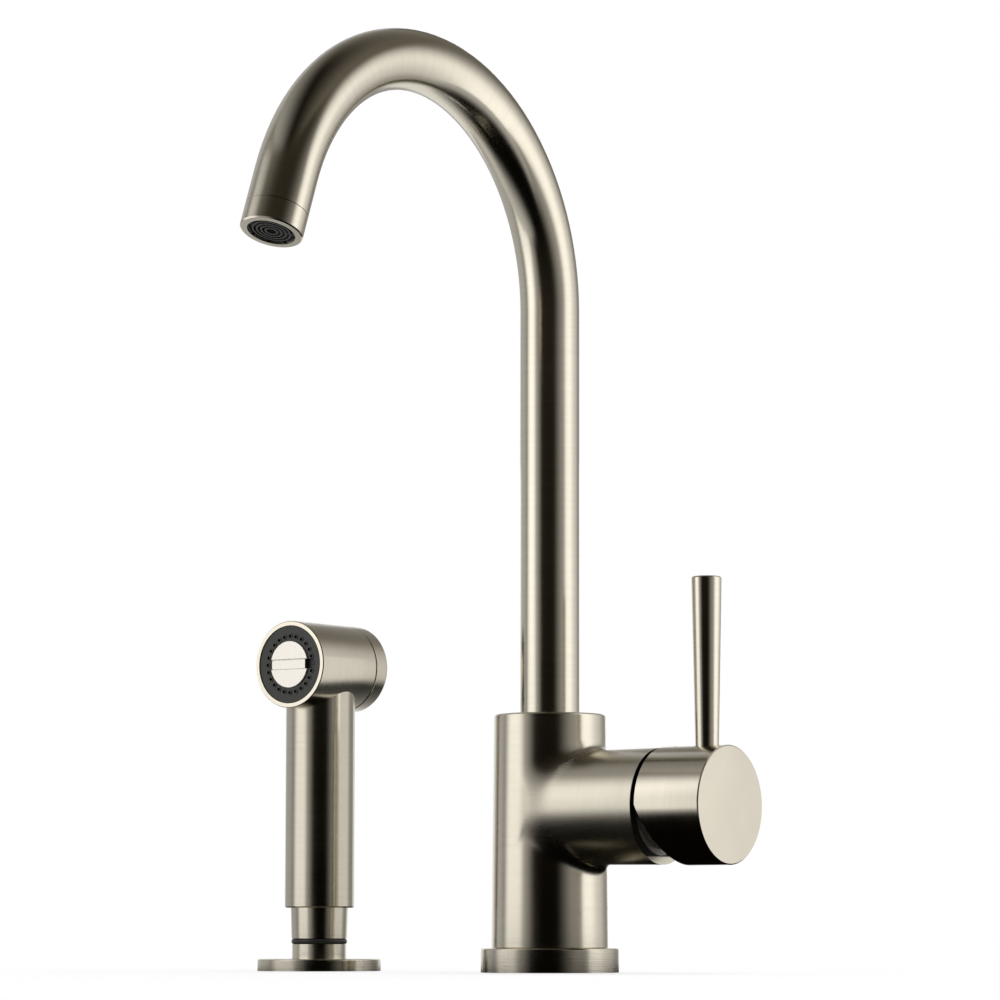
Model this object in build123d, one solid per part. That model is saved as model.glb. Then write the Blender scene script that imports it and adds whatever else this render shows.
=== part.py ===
"""Single-lever kitchen mixer tap with a swivelling gooseneck spout and a separate side spray.

Millimetres. The origin is the centre of the tap's foot on the worktop, +Z is up, the spout points
along -Y, the lever barrel along +X, and the side spray stands in its own holder on the -X side.
Turned pieces are drawn upright as (radius, height) outlines and are then laid on their own axis.
"""
import os
from math import asin, cos, degrees, radians, sin, sqrt

from build123d import *

# ---------------------------------------------------------------- tap body and its base ring
BODY_FOOT_RADIUS = 25.0
BODY_TOP_RADIUS = 24.0
BODY_TOP_Z = 110.4
BODY_EDGE_ROUNDING = 1.2
FOOT_CHAMFER = 0.4
BASE_RING_OVERHANG = 4.6      # beyond the body's foot
BASE_RING_HEIGHT = 10.3
BASE_RING_ROUNDING = 0.8
SPIGOT_STEP = 2.5             # the body's spigot inside the base ring is this much slimmer
GASKET_WIDTH = 3.2
GASKET_DEPTH = 1.8
GASKET_MARGIN = 1.2           # ring wall left outside the gasket groove

# ---------------------------------------------------------------- connections in the body's underside
STUD_HOLE_RADIUS = 3.32       # M8 fixing stud
STUD_HOLE_DEPTH = 20.0
PORT_RADIUS = 4.46            # M10 x 1 hose ends
PORT_DEPTH = 14.0
SUPPLY_PORT_X = 10.5
SUPPLY_PORT_Y = 9.5
SPRAY_PORT_X = -12.0
WATERWAY_RADIUS = 3.2

# ---------------------------------------------------------------- lever barrel and cartridge seat
BARREL_Z = 70.0
BARREL_STEP = 0.3             # barrel's root inside the body's own radius
BARREL_FLARE = 0.5            # barrel's end outside its root
BARREL_END_X = 58.4
BARREL_BLEND = 6.0            # soft fillet between body and barrel
CARTRIDGE_RADIUS = 17.5
CARTRIDGE_FLOOR_X = 22.0
CARTRIDGE_FRONT_X = 52.0
NUT_RADIUS = 20.9
NUT_THICKNESS = 5.4
NUT_BORE_RADIUS = 13.2
NUT_SLOT_WIDTH = 4.0
NUT_SLOT_DEPTH = 2.2
NUT_SLOTS = 4
NUT_SLOT_TURN = 45.0

# ---------------------------------------------------------------- ceramic cartridge
PIVOT_X = 48.0                # lever pivot, on the barrel axis
PIVOT_PIN_RADIUS = 2.0
PIVOT_PIN_LENGTH = 26.0
LEVER_TILT = 22.0             # degrees from shut to full flow
CARTRIDGE_WALL = 2.5
CARTRIDGE_BASE_THICKNESS = 4.0
FIXED_DISC_THICKNESS = 4.0
MOVING_DISC_THICKNESS = 3.5
MOVING_DISC_RADIUS = 11.5
MOVING_DISC_ROOF = 1.2
CARRIER_THICKNESS = 4.8
CARRIER_RADIUS = 12.2
CARRIER_HALF_WIDTH = 10.6
ROTOR_LENGTH = 13.0
ROTOR_SLOT_HALF_HEIGHT = 8.6
DISC_PORT_RADIUS = 3.0
DISC_OUTLET_DROP = 10.0       # mixed-water port below the barrel axis
DISC_INLET_DROP = 4.0         # supply ports below the barrel axis
SEAL_WIDTH = 1.2
SEAL_HEIGHT = 1.5
STEM_WIDTH = 7.0
STEM_END_X = 87.0
STEM_BOSS_RADIUS = 4.4
STEM_ARM_RADIUS = 2.0
STEM_BALL_RADIUS = 2.8        # drives the disc carrier

# ---------------------------------------------------------------- ball cap over the cartridge nut
BALL_RADIUS = 20.4
BALL_WALL = 1.6
BALL_FRONT_X = 62.0
BALL_OPENING_RADIUS = 11.6

# ---------------------------------------------------------------- lever
HUB_RADIUS = 25.0
HUB_REAR_X = 60.6
HUB_FRONT_X = 92.3
HUB_EDGE = 0.5
HUB_CUT_ANGLE = 24.0          # relief of the rear rim below mid-height
HUB_CAVITY_RADIUS = 22.0
HUB_CAVITY_DEPTH = 14.4
INDEX_MARK_X = 67.7
INDEX_MARK_Y = -3.0
INDEX_MARK_LENGTH = 4.0
INDEX_MARK_WIDTH = 0.9
INDEX_MARK_DEPTH = 0.35
LEVER_ROD_X = 80.8
LEVER_ROD_TOP_Z = 166.1
LEVER_ROD_BASE_RADIUS = 4.95
LEVER_ROD_TIP_RADIUS = 6.4
LEVER_ROD_ROUNDING = 1.0
LEVER_THREAD_RADIUS = 4.0
LEVER_THREAD_LENGTH = 12.0
SPOT_FACE_RADIUS = 6.0
SPOT_FACE_DEPTH = 0.9
GRUB_RADIUS = 3.0
GRUB_GAP = 1.2                 # between the grub screw and the rod above it
GRUB_HEX_ACROSS_FLATS = 3.0

# ---------------------------------------------------------------- spout
TUBE_RADIUS = 12.8
TUBE_WALL = 1.5
NECK_RADIUS = 93.9            # centre line of the bend
NECK_START_Z = 285.7
NECK_SWEEP = 159.8            # degrees turned by the bend
OUTLET_STRAIGHT = 26.4        # bend end to the aerator's rim
SWIVEL_STOP = 60.0            # degrees each way
SOCKET_RADIUS = 15.5
SOCKET_FLOOR_Z = 72.0
NIPPLE_RADIUS = 14.9
NIPPLE_BOTTOM_Z = 75.2
NIPPLE_TOP_Z = 98.0
NIPPLE_BORE_RADIUS = 9.5
NIPPLE_SHANK_LENGTH = 12.0
SEAL_GROOVE_RADIUS = 13.1
SEAL_GROOVE_WIDTH = 2.8
SEAL_ZS = (78.0, 82.6)
SLIDE_RING_Z = 85.6
SLIDE_RING_HEIGHT = 2.4
SLIDE_RING_SPLIT = 1.5
STOP_GROOVE_RADIUS = 12.3
STOP_SCREW_Z = 93.0
STOP_SCREW_RADIUS = 2.5
STOP_DOG_RADIUS = 1.6
STOP_DOG_LENGTH = 2.4
STOP_SCREW_RECESS = 0.8
STOP_HEX_ACROSS_FLATS = 2.5
TOP_BUSH_HEIGHT = 9.5
TOP_BUSH_RECESS = 0.6

# ---------------------------------------------------------------- aerator
AERATOR_LENGTH = 10.0
AERATOR_BORE_RADIUS = 9.85
AERATOR_THREAD_LENGTH = 6.0
AERATOR_JOINT_LINE = 0.35
AERATOR_RECESS = 0.5
AERATOR_RING_COUNT = 5
AERATOR_RING_PITCH = 1.75
AERATOR_RING_WIDTH = 0.8
AERATOR_RING_HEIGHT = 1.0
AERATOR_KEY_COUNT = 8
AERATOR_KEY_WIDTH = 1.6
AERATOR_KEY_DEPTH = 1.2
AERATOR_WASHER_HEIGHT = 1.8
AERATOR_WASHER_WIDTH = 3.5

# ---------------------------------------------------------------- diverter under the spout
CHAMBER_RADIUS = 9.0
CHAMBER_FLOOR_Z = 42.0
DIVERTER_BOTTOM_Z = 46.0
DIVERTER_BORE_RADIUS = 6.2
DIVERTER_SEAT_RADIUS = 4.0
DIVERTER_SEAT_THICKNESS = 2.0
DIVERTER_FLANGE_RADIUS = 12.0
DIVERTER_FLANGE_HEIGHT = 2.0
DIVERTER_WINDOW_RADIUS = 2.6
PISTON_HEAD_THICKNESS = 3.0
PISTON_STEM_RADIUS = 1.8
PISTON_SEAL_THICKNESS = 1.6
SPRING_WIRE_RADIUS = 0.4
DIVERTER_SPRING_TURNS = 6

# ---------------------------------------------------------------- side spray: holder
SPRAY_X = -126.4
FLANGE_RADIUS = 27.5
FLANGE_HEIGHT = 5.3
FLANGE_ROUNDING = 0.7
COLLAR_RADIUS = 12.1
COLLAR_TOP_Z = 11.8
COLLAR_RELIEF_WIDTH = 1.0
COLLAR_RELIEF_DEPTH = 0.5
LINER_RADIUS = 10.2
LINER_BORE_RADIUS = 8.9
LINER_RIM_RADIUS = 12.4
LINER_RIM_HEIGHT = 2.6
LINER_RIM_ROUNDING = 1.15

# ---------------------------------------------------------------- side spray: hose nut and handle
NUT_FOOT_RADIUS = 12.4
NUT_SHOULDER_RADIUS = 12.8
HANDLE_BOTTOM_Z = 28.0
PLUG_BOTTOM_Z = 2.0
PLUG_TIP_RADIUS = 8.1
PLUG_ROOT_RADIUS = 8.5
HOSE_BORE_RADIUS = 5.2
HANDLE_RADIUS = 15.5
HANDLE_EDGE = 0.6
HANDLE_BORE_RADIUS = 12.5
HANDLE_FLOOR = 8.0
HANDLE_THREAD_RADIUS = 10.4
HANDLE_THREAD_LENGTH = 8.5
HANDLE_WATERWAY_RADIUS = 6.0
HOSE_WASHER_THICKNESS = 2.0

# ---------------------------------------------------------------- side spray: head
HEAD_Z = 135.9
HEAD_RADIUS = 19.4
HEAD_FRONT = 22.4             # face in front of the handle's axis
HEAD_SEAM = 15.8              # joint with the rear cap, behind the handle's axis
HEAD_REAR = 24.7
HEAD_EDGE = 0.35
HEAD_BORE_RADIUS = 17.45
SEAM_GAP = 0.6
SEAM_DEPTH = 0.9
SEAM_ROUNDING = 0.3
REAR_CAP_ROUNDING = 1.5
REAR_CAP_SPIGOT = 4.0
FACE_PLATE_THICKNESS = 3.4
FACE_PLATE_RECESS = 0.5
NOZZLE_COUNT = 24
NOZZLE_CIRCLE_RADIUS = 12.6
NOZZLE_RADIUS = 0.75
NOZZLE_COLLAR_RADIUS = 1.15
NOZZLE_COLLAR_HEIGHT = 0.3
FACE_SCREW_RADIUS = 10.3
FACE_SCREW_PROUD = 0.9        # beyond the face plate
FACE_SLOT_WIDTH = 4.2
FACE_SLOT_DEPTH = 0.8
FACE_SLOT_EDGE = 0.25
KEY_NOTCH_START = 8.5
KEY_NOTCH_END = 13.4
KEY_NOTCH_DEPTH = 2.2
SCREW_SHANK_RADIUS = 3.0

# ---------------------------------------------------------------- side spray: valve and push button
CORE_FRONT = 13.5             # face of the valve core's web, in front of the handle's axis
CORE_WEB = 3.5
CORE_SKIRT_WALL = 1.9
CORE_CHAMBER_RADIUS = 6.0
CORE_CHAMBER_LENGTH = 3.0
CORE_SEAT_RADIUS = 4.0
CORE_SEAT_THICKNESS = 2.0
CORE_SEAT_FRONT = 0.0
CORE_INLET_RADIUS = 1.4
CORE_WATER_HOLES = 6
CORE_WATER_HOLE_RADIUS = 1.2
BUTTON_RADIUS = 12.0
BUTTON_PROUD = 3.6
BUTTON_DEPTH = 5.4
BUTTON_ROUNDING = 1.6
BUTTON_FLANGE = 1.4           # flange that keeps the button in the rear cap
BUTTON_HUB_RADIUS = 5.0
SPRING_POCKET_RADIUS = 10.4
VALVE_STEM_RADIUS = 2.5
VALVE_SEAL_RADIUS = 5.2
VALVE_SEAL_THICKNESS = 2.0
VALVE_SPRING_TURNS = 4

# ---------------------------------------------------------------- clearances
RUNNING = 0.08                # shaft in bush
LOOSE = 0.3                   # pieces that move past each other without touching
THREAD = 0.05                 # threads, drawn plain
OVERCUT = 1.0                 # how far a cutter runs past the face it opens

# ---------------------------------------------------------------- derived places
BOTTOM = (Align.CENTER, Align.CENTER, Align.MIN)
ON_BARREL = Location((0, 0, BARREL_Z), (0, 90, 0))     # height becomes the distance along +X
IN_HEAD = Location((SPRAY_X, 0, HEAD_Z), (90, 0, 0))   # height becomes the distance forward
AT_SPRAY = Location((SPRAY_X, 0, 0))

BASE_RING_RADIUS = BODY_FOOT_RADIUS + BASE_RING_OVERHANG
SPIGOT_RADIUS = BODY_FOOT_RADIUS - SPIGOT_STEP
BODY_SLOPE = (BODY_TOP_RADIUS - BODY_FOOT_RADIUS) / (BODY_TOP_Z - BASE_RING_HEIGHT)
BARREL_ROOT_RADIUS = BODY_FOOT_RADIUS + BODY_SLOPE * (BARREL_Z - BASE_RING_HEIGHT) - BARREL_STEP
BARREL_END_RADIUS = BARREL_ROOT_RADIUS + BARREL_FLARE
BODY_BACK_Y = BODY_FOOT_RADIUS + BODY_SLOPE * (STOP_SCREW_Z - BASE_RING_HEIGHT)

OUTLET_DIRECTION = (0, -sin(radians(180 - NECK_SWEEP)), -cos(radians(180 - NECK_SWEEP)))
BEND_END_Y = -NECK_RADIUS + NECK_RADIUS * cos(radians(NECK_SWEEP))
BEND_END_Z = NECK_START_Z + NECK_RADIUS * sin(radians(NECK_SWEEP))
OUTLET_Y = BEND_END_Y + OUTLET_STRAIGHT * OUTLET_DIRECTION[1]
OUTLET_Z = BEND_END_Z + OUTLET_STRAIGHT * OUTLET_DIRECTION[2]
AT_OUTLET = Plane((0, OUTLET_Y, OUTLET_Z), x_dir=(1, 0, 0), z_dir=OUTLET_DIRECTION)

FIXED_DISC_X = CARTRIDGE_FLOOR_X + CARTRIDGE_BASE_THICKNESS
MOVING_DISC_X = FIXED_DISC_X + FIXED_DISC_THICKNESS + THREAD
CARRIER_X = MOVING_DISC_X + MOVING_DISC_THICKNESS
ROTOR_X = CARRIER_X + CARRIER_THICKNESS + LOOSE
ROTOR_RADIUS = CARTRIDGE_RADIUS - CARTRIDGE_WALL - RUNNING
BALL_X = CARRIER_X + STEM_BALL_RADIUS + LOOSE
DISC_STROKE = (PIVOT_X - BALL_X) * sin(radians(LEVER_TILT))
DISC_REST_Z = BARREL_Z - DISC_STROKE / 2               # the open position lies as far above the axis
NUT_FRONT_X = CARTRIDGE_FRONT_X + NUT_THICKNESS
HUB_SOCKET_X = HUB_REAR_X + HUB_CAVITY_DEPTH
HUB_TOP_Z = BARREL_Z + HUB_RADIUS
ROD_SEAT_Z = HUB_TOP_Z - SPOT_FACE_DEPTH
TUBE_BORE_RADIUS = TUBE_RADIUS - TUBE_WALL
LINER_TOP_Z = COLLAR_TOP_Z + LINER_RIM_HEIGHT
FACE_PLATE_FRONT = HEAD_FRONT - FACE_PLATE_RECESS
FACE_PLATE_BACK = FACE_PLATE_FRONT - FACE_PLATE_THICKNESS


# ---------------------------------------------------------------- helpers
def rod(radius, start, end):
    """Solid cylinder about Z between two heights."""
    return Pos(0, 0, start) * Cylinder(radius, end - start, align=BOTTOM)


def ring(outer, inner, start, end):
    """Plain ring about Z between two heights."""
    return rod(outer, start, end) - rod(inner, start, end)


def taper(start_radius, end_radius, start, end):
    """Solid cone about Z between two heights."""
    return Pos(0, 0, start) * Cone(start_radius, end_radius, end - start, align=BOTTOM)


def block(size_x, size_y, start, end):
    """Rectangular bar about Z between two heights."""
    return Pos(0, 0, start) * Box(size_x, size_y, end - start, align=BOTTOM)


def lathe(*outline, turn=360):
    """Turned solid about Z from (radius, height) points."""
    section = make_face(Plane.XZ * Polyline(*outline, close=True))
    return revolve(section, Axis.Z, revolution_arc=turn)


def o_ring(mean_radius, section_radius, height):
    """Seal ring of round section about Z."""
    return Pos(0, 0, height) * Torus(mean_radius, section_radius)


def rims(solid, radius, height):
    """Circular edges of one radius at one height, before the piece is laid on its axis."""
    circles = solid.edges().filter_by(GeomType.CIRCLE)
    return [e for e in circles if abs(e.radius - radius) < 0.01 and abs(e.arc_center.Z - height) < 0.01]


def hexagon_socket(across_flats, start, end):
    """Hexagon prism for a key."""
    return extrude(Pos(0, 0, start) * RegularPolygon(across_flats / sqrt(3), 6), end - start)


def coil(mean_radius, start, end, turns):
    """Compression spring about Z, one unbroken wire."""
    pitch = (end - start - 2 * SPRING_WIRE_RADIUS) / turns
    path = Pos(0, 0, start + SPRING_WIRE_RADIUS) * Helix(pitch, pitch * turns, mean_radius)
    section = Plane(path @ 0, z_dir=path % 0) * Circle(SPRING_WIRE_RADIUS)
    return sweep(section, path, is_frenet=True)


# ---------------------------------------------------------------- tap: fixed pieces
def tap_body():
    column = lathe(
        (0, 0),
        (SPIGOT_RADIUS, 0),
        (SPIGOT_RADIUS, BASE_RING_HEIGHT),
        (BODY_FOOT_RADIUS - FOOT_CHAMFER, BASE_RING_HEIGHT),
        (BODY_FOOT_RADIUS, BASE_RING_HEIGHT + FOOT_CHAMFER),
        (BODY_TOP_RADIUS, BODY_TOP_Z),
        (0, BODY_TOP_Z),
    )
    column = fillet(rims(column, BODY_TOP_RADIUS, BODY_TOP_Z), BODY_EDGE_ROUNDING)
    body = column + ON_BARREL * taper(BARREL_ROOT_RADIUS, BARREL_END_RADIUS, 0, BARREL_END_X)
    seam = [e for e in body.edges() if e.geom_type not in (GeomType.CIRCLE, GeomType.LINE)]
    body = fillet(seam, BARREL_BLEND)
    body -= rod(SOCKET_RADIUS, SOCKET_FLOOR_Z, BODY_TOP_Z)
    body -= rod(CHAMBER_RADIUS, CHAMBER_FLOOR_Z, SOCKET_FLOOR_Z)
    body -= ON_BARREL * rod(CARTRIDGE_RADIUS, CARTRIDGE_FLOOR_X, CARTRIDGE_FRONT_X)
    body -= ON_BARREL * rod(NUT_RADIUS, CARTRIDGE_FRONT_X, BARREL_END_X)
    body -= rod(STUD_HOLE_RADIUS, 0, STUD_HOLE_DEPTH)
    for side in (1, -1):
        rise = BARREL_Z - DISC_INLET_DROP
        body -= Pos(SUPPLY_PORT_X, side * SUPPLY_PORT_Y) * rod(PORT_RADIUS, 0, PORT_DEPTH)
        body -= Pos(SUPPLY_PORT_X, side * SUPPLY_PORT_Y) * rod(WATERWAY_RADIUS, PORT_DEPTH, rise)
        supply = ON_BARREL * Pos(DISC_INLET_DROP, side * SUPPLY_PORT_Y)
        body -= supply * rod(WATERWAY_RADIUS, SUPPLY_PORT_X, CARTRIDGE_FLOOR_X)
    body -= ON_BARREL * Pos(DISC_OUTLET_DROP, 0) * rod(WATERWAY_RADIUS, 0, CARTRIDGE_FLOOR_X)
    body -= Pos(SPRAY_PORT_X, 0) * rod(PORT_RADIUS, 0, PORT_DEPTH)
    body -= Pos(SPRAY_PORT_X, 0) * rod(WATERWAY_RADIUS, PORT_DEPTH, DIVERTER_BOTTOM_Z)
    screw_hole = rod(STOP_SCREW_RADIUS + THREAD, SOCKET_RADIUS - OVERCUT, BODY_BACK_Y + OVERCUT)
    body -= stop_screw_axis() * screw_hole
    return body


def base_ring():
    collar = ring(BASE_RING_RADIUS, SPIGOT_RADIUS, 0, BASE_RING_HEIGHT)
    collar = fillet(rims(collar, BASE_RING_RADIUS, BASE_RING_HEIGHT), BASE_RING_ROUNDING)
    outer = BASE_RING_RADIUS - GASKET_MARGIN
    return collar - ring(outer, outer - GASKET_WIDTH, 0, GASKET_DEPTH)


def base_gasket():
    outer = BASE_RING_RADIUS - GASKET_MARGIN
    return ring(outer, outer - GASKET_WIDTH, 0, GASKET_DEPTH)


def spout_bush():
    top = BODY_TOP_Z - TOP_BUSH_RECESS
    return ring(SOCKET_RADIUS, TUBE_RADIUS + RUNNING, top - TOP_BUSH_HEIGHT, top)


def stop_screw_axis():
    """Radial axis at the back of the body: height becomes the distance from the tap's axis."""
    return Location((0, 0, STOP_SCREW_Z), (-90, 0, 0))


def spout_stop_screw():
    outer = BODY_BACK_Y - STOP_SCREW_RECESS
    shoulder = SOCKET_RADIUS + LOOSE
    screw = rod(STOP_SCREW_RADIUS, shoulder, outer)
    screw += rod(STOP_DOG_RADIUS, shoulder - STOP_DOG_LENGTH, shoulder)
    screw -= hexagon_socket(STOP_HEX_ACROSS_FLATS, outer - STOP_DOG_LENGTH, outer)
    return stop_screw_axis() * screw


# ---------------------------------------------------------------- tap: diverter
def diverter_piston_heights():
    """Heights of the piston's seal, head bottom and head top at rest on the lower seat."""
    seal_bottom = DIVERTER_BOTTOM_Z + DIVERTER_SEAT_THICKNESS
    head_bottom = seal_bottom + PISTON_SEAL_THICKNESS
    return seal_bottom, head_bottom, head_bottom + PISTON_HEAD_THICKNESS


def diverter_sleeve():
    top = SOCKET_FLOOR_Z + DIVERTER_FLANGE_HEIGHT
    sleeve = rod(CHAMBER_RADIUS, DIVERTER_BOTTOM_Z, SOCKET_FLOOR_Z)
    sleeve += rod(DIVERTER_FLANGE_RADIUS, SOCKET_FLOOR_Z, top)
    sleeve -= rod(DIVERTER_SEAT_RADIUS, DIVERTER_BOTTOM_Z, top)
    sleeve -= rod(DIVERTER_BORE_RADIUS, DIVERTER_BOTTOM_Z + DIVERTER_SEAT_THICKNESS, SOCKET_FLOOR_Z)
    window = Location((0, 0, BARREL_Z - DISC_OUTLET_DROP), (0, 90, 0))
    sleeve -= window * rod(DIVERTER_WINDOW_RADIUS, -CHAMBER_RADIUS, CHAMBER_RADIUS)
    return sleeve


def diverter_seal():
    bottom, top, _ = diverter_piston_heights()
    return ring(DIVERTER_BORE_RADIUS - LOOSE, PISTON_STEM_RADIUS, bottom, top)


def diverter_piston():
    bottom, head_bottom, head_top = diverter_piston_heights()
    piston = rod(PISTON_STEM_RADIUS, DIVERTER_BOTTOM_Z, SOCKET_FLOOR_Z)
    return piston + rod(DIVERTER_BORE_RADIUS - RUNNING, head_bottom, head_top)


def diverter_spring():
    _, _, head_top = diverter_piston_heights()
    mean_radius = (PISTON_STEM_RADIUS + DIVERTER_BORE_RADIUS) / 2 + SPRING_WIRE_RADIUS
    return coil(mean_radius, head_top, SOCKET_FLOOR_Z, DIVERTER_SPRING_TURNS)


# ---------------------------------------------------------------- tap: ceramic cartridge
def disc_ports(radius, start, end):
    """The two supply ports and the mixed-water port, about the barrel axis."""
    ports = Pos(DISC_OUTLET_DROP, 0) * rod(radius, start, end)
    for side in (1, -1):
        ports += Pos(DISC_INLET_DROP, side * SUPPLY_PORT_Y) * rod(radius, start, end)
    return ports


def cartridge_base():
    inner = CARTRIDGE_RADIUS - CARTRIDGE_WALL
    base = rod(inner, CARTRIDGE_FLOOR_X, FIXED_DISC_X)
    base -= disc_ports(DISC_PORT_RADIUS, CARTRIDGE_FLOOR_X, FIXED_DISC_X)
    seal_end = CARTRIDGE_FLOOR_X + SEAL_HEIGHT
    return ON_BARREL * (base - disc_ports(DISC_PORT_RADIUS + SEAL_WIDTH, CARTRIDGE_FLOOR_X, seal_end))


def cartridge_seals():
    end = CARTRIDGE_FLOOR_X + SEAL_HEIGHT
    seals = disc_ports(DISC_PORT_RADIUS + SEAL_WIDTH, CARTRIDGE_FLOOR_X, end)
    return ON_BARREL * (seals - disc_ports(DISC_PORT_RADIUS, CARTRIDGE_FLOOR_X, end))


def fixed_disc():
    end = FIXED_DISC_X + FIXED_DISC_THICKNESS
    disc = rod(CARTRIDGE_RADIUS - CARTRIDGE_WALL, FIXED_DISC_X, end)
    return ON_BARREL * (disc - disc_ports(DISC_PORT_RADIUS, FIXED_DISC_X, end))


def cartridge_housing():
    inner = CARTRIDGE_RADIUS - CARTRIDGE_WALL
    shell = ring(CARTRIDGE_RADIUS, inner, CARTRIDGE_FLOOR_X, CARTRIDGE_FRONT_X)
    return ON_BARREL * shell


def cartridge_nut():
    nut = ring(NUT_RADIUS - THREAD, NUT_BORE_RADIUS, CARTRIDGE_FRONT_X, NUT_FRONT_X)
    for index in range(NUT_SLOTS):
        slot = block(NUT_SLOT_DEPTH, NUT_SLOT_WIDTH, CARTRIDGE_FRONT_X, NUT_FRONT_X)
        nut -= Rot(0, 0, index * 360 / NUT_SLOTS + NUT_SLOT_TURN) * Pos(NUT_BORE_RADIUS, 0) * slot
    return ON_BARREL * nut


def ball_cap():
    centre = Pos(0, 0, PIVOT_X)
    dome = centre * Sphere(BALL_RADIUS) - centre * Sphere(BALL_RADIUS - BALL_WALL)
    dome &= rod(BALL_RADIUS, NUT_FRONT_X, BALL_FRONT_X)
    return ON_BARREL * (dome - rod(BALL_OPENING_RADIUS, NUT_FRONT_X, BALL_FRONT_X))


def cartridge_rotor():
    front = ROTOR_X + ROTOR_LENGTH
    rotor = rod(ROTOR_RADIUS, CARRIER_X + LOOSE, front)
    rotor -= block(4 * ROTOR_RADIUS, 2 * (CARRIER_HALF_WIDTH + LOOSE), CARRIER_X, ROTOR_X)
    rotor -= block(2 * ROTOR_SLOT_HALF_HEIGHT, STEM_WIDTH + 2 * LOOSE, ROTOR_X, front)
    rotor = ON_BARREL * rotor
    return rotor - pivot_axis() * rod(PIVOT_PIN_RADIUS, -ROTOR_RADIUS, ROTOR_RADIUS)


def pivot_axis():
    """Axis of the lever's pivot: height becomes the distance along -Y."""
    return Location((PIVOT_X, 0, BARREL_Z), (90, 0, 0))


def pivot_pin():
    return pivot_axis() * rod(PIVOT_PIN_RADIUS, -PIVOT_PIN_LENGTH / 2, PIVOT_PIN_LENGTH / 2)


def disc_carrier():
    carrier = rod(CARRIER_RADIUS, CARRIER_X, CARRIER_X + CARRIER_THICKNESS)
    carrier &= block(4 * CARRIER_RADIUS, 2 * CARRIER_HALF_WIDTH, CARRIER_X, CARRIER_X + CARRIER_THICKNESS)
    carrier = Location((0, 0, DISC_REST_Z), (0, 90, 0)) * carrier
    half = STEM_BALL_RADIUS + LOOSE
    return carrier - ON_BARREL * block(2 * half, 2 * half, CARRIER_X, CARRIER_X + CARRIER_THICKNESS)


def moving_disc():
    disc = rod(MOVING_DISC_RADIUS, MOVING_DISC_X, CARRIER_X)
    pocket = rod(MOVING_DISC_RADIUS / 2, MOVING_DISC_X, CARRIER_X - MOVING_DISC_ROOF)
    disc -= Pos(MOVING_DISC_RADIUS / 3, 0) * pocket
    return Location((0, 0, DISC_REST_Z), (0, 90, 0)) * disc


# ---------------------------------------------------------------- lever
def lever_stem():
    arm = rod(STEM_ARM_RADIUS, BALL_X, PIVOT_X) + Pos(0, 0, BALL_X) * Sphere(STEM_BALL_RADIUS)
    bar = ON_BARREL * (arm + block(STEM_WIDTH, STEM_WIDTH, PIVOT_X, STEM_END_X))
    half = STEM_WIDTH / 2
    bar += pivot_axis() * rod(STEM_BOSS_RADIUS, -half, half)
    return bar - pivot_axis() * rod(PIVOT_PIN_RADIUS + RUNNING, -half, half)


def lever_hub():
    hub = rod(HUB_RADIUS, HUB_REAR_X, HUB_FRONT_X)
    hub = chamfer(rims(hub, HUB_RADIUS, HUB_FRONT_X), HUB_EDGE)
    hub -= rod(HUB_CAVITY_RADIUS, HUB_REAR_X, HUB_SOCKET_X)
    socket = STEM_WIDTH + 2 * THREAD
    hub -= block(socket, socket, HUB_SOCKET_X, STEM_END_X + THREAD)
    hub = ON_BARREL * hub
    reach = 2 * HUB_RADIUS
    relief = Box(reach, reach, reach, align=(Align.MAX, Align.CENTER, Align.MAX))
    hub -= Pos(HUB_REAR_X, 0, BARREL_Z) * Rot(0, -HUB_CUT_ANGLE, 0) * relief
    hub -= Pos(LEVER_ROD_X, 0) * rod(SPOT_FACE_RADIUS, ROD_SEAT_Z, HUB_TOP_Z)
    thread_bottom = ROD_SEAT_Z - LEVER_THREAD_LENGTH
    hub -= Pos(LEVER_ROD_X, 0) * rod(LEVER_THREAD_RADIUS, thread_bottom, ROD_SEAT_Z)
    hub -= Pos(LEVER_ROD_X, 0) * rod(GRUB_RADIUS, BARREL_Z, thread_bottom)
    return hub - index_mark()


def index_mark():
    """Short engraved tick on the hub's upper side, along its curve."""
    half_angle = degrees(INDEX_MARK_LENGTH / HUB_RADIUS / 2)
    inner = HUB_RADIUS - INDEX_MARK_DEPTH
    outer = HUB_RADIUS + INDEX_MARK_DEPTH
    low, high = INDEX_MARK_X - INDEX_MARK_WIDTH / 2, INDEX_MARK_X + INDEX_MARK_WIDTH / 2
    tick = lathe((inner, low), (outer, low), (outer, high), (inner, high), turn=2 * half_angle)
    toward_top = 180 - half_angle - degrees(asin(INDEX_MARK_Y / HUB_RADIUS))
    return ON_BARREL * Rot(0, 0, toward_top) * tick


def lever_rod():
    tapered = taper(LEVER_ROD_BASE_RADIUS, LEVER_ROD_TIP_RADIUS, ROD_SEAT_Z, LEVER_ROD_TOP_Z)
    tapered = fillet(rims(tapered, LEVER_ROD_TIP_RADIUS, LEVER_ROD_TOP_Z), LEVER_ROD_ROUNDING)
    thread_bottom = ROD_SEAT_Z - LEVER_THREAD_LENGTH + THREAD
    thread = rod(LEVER_THREAD_RADIUS - THREAD, thread_bottom, ROD_SEAT_Z)
    return Pos(LEVER_ROD_X, 0) * (tapered + thread)


def lever_grub_screw():
    bottom = BARREL_Z + STEM_WIDTH / 2
    top = ROD_SEAT_Z - LEVER_THREAD_LENGTH - GRUB_GAP
    grub = rod(GRUB_RADIUS - THREAD, bottom, top)
    grub -= hexagon_socket(GRUB_HEX_ACROSS_FLATS, (bottom + top) / 2, top)
    return Pos(LEVER_ROD_X, 0) * grub


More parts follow.
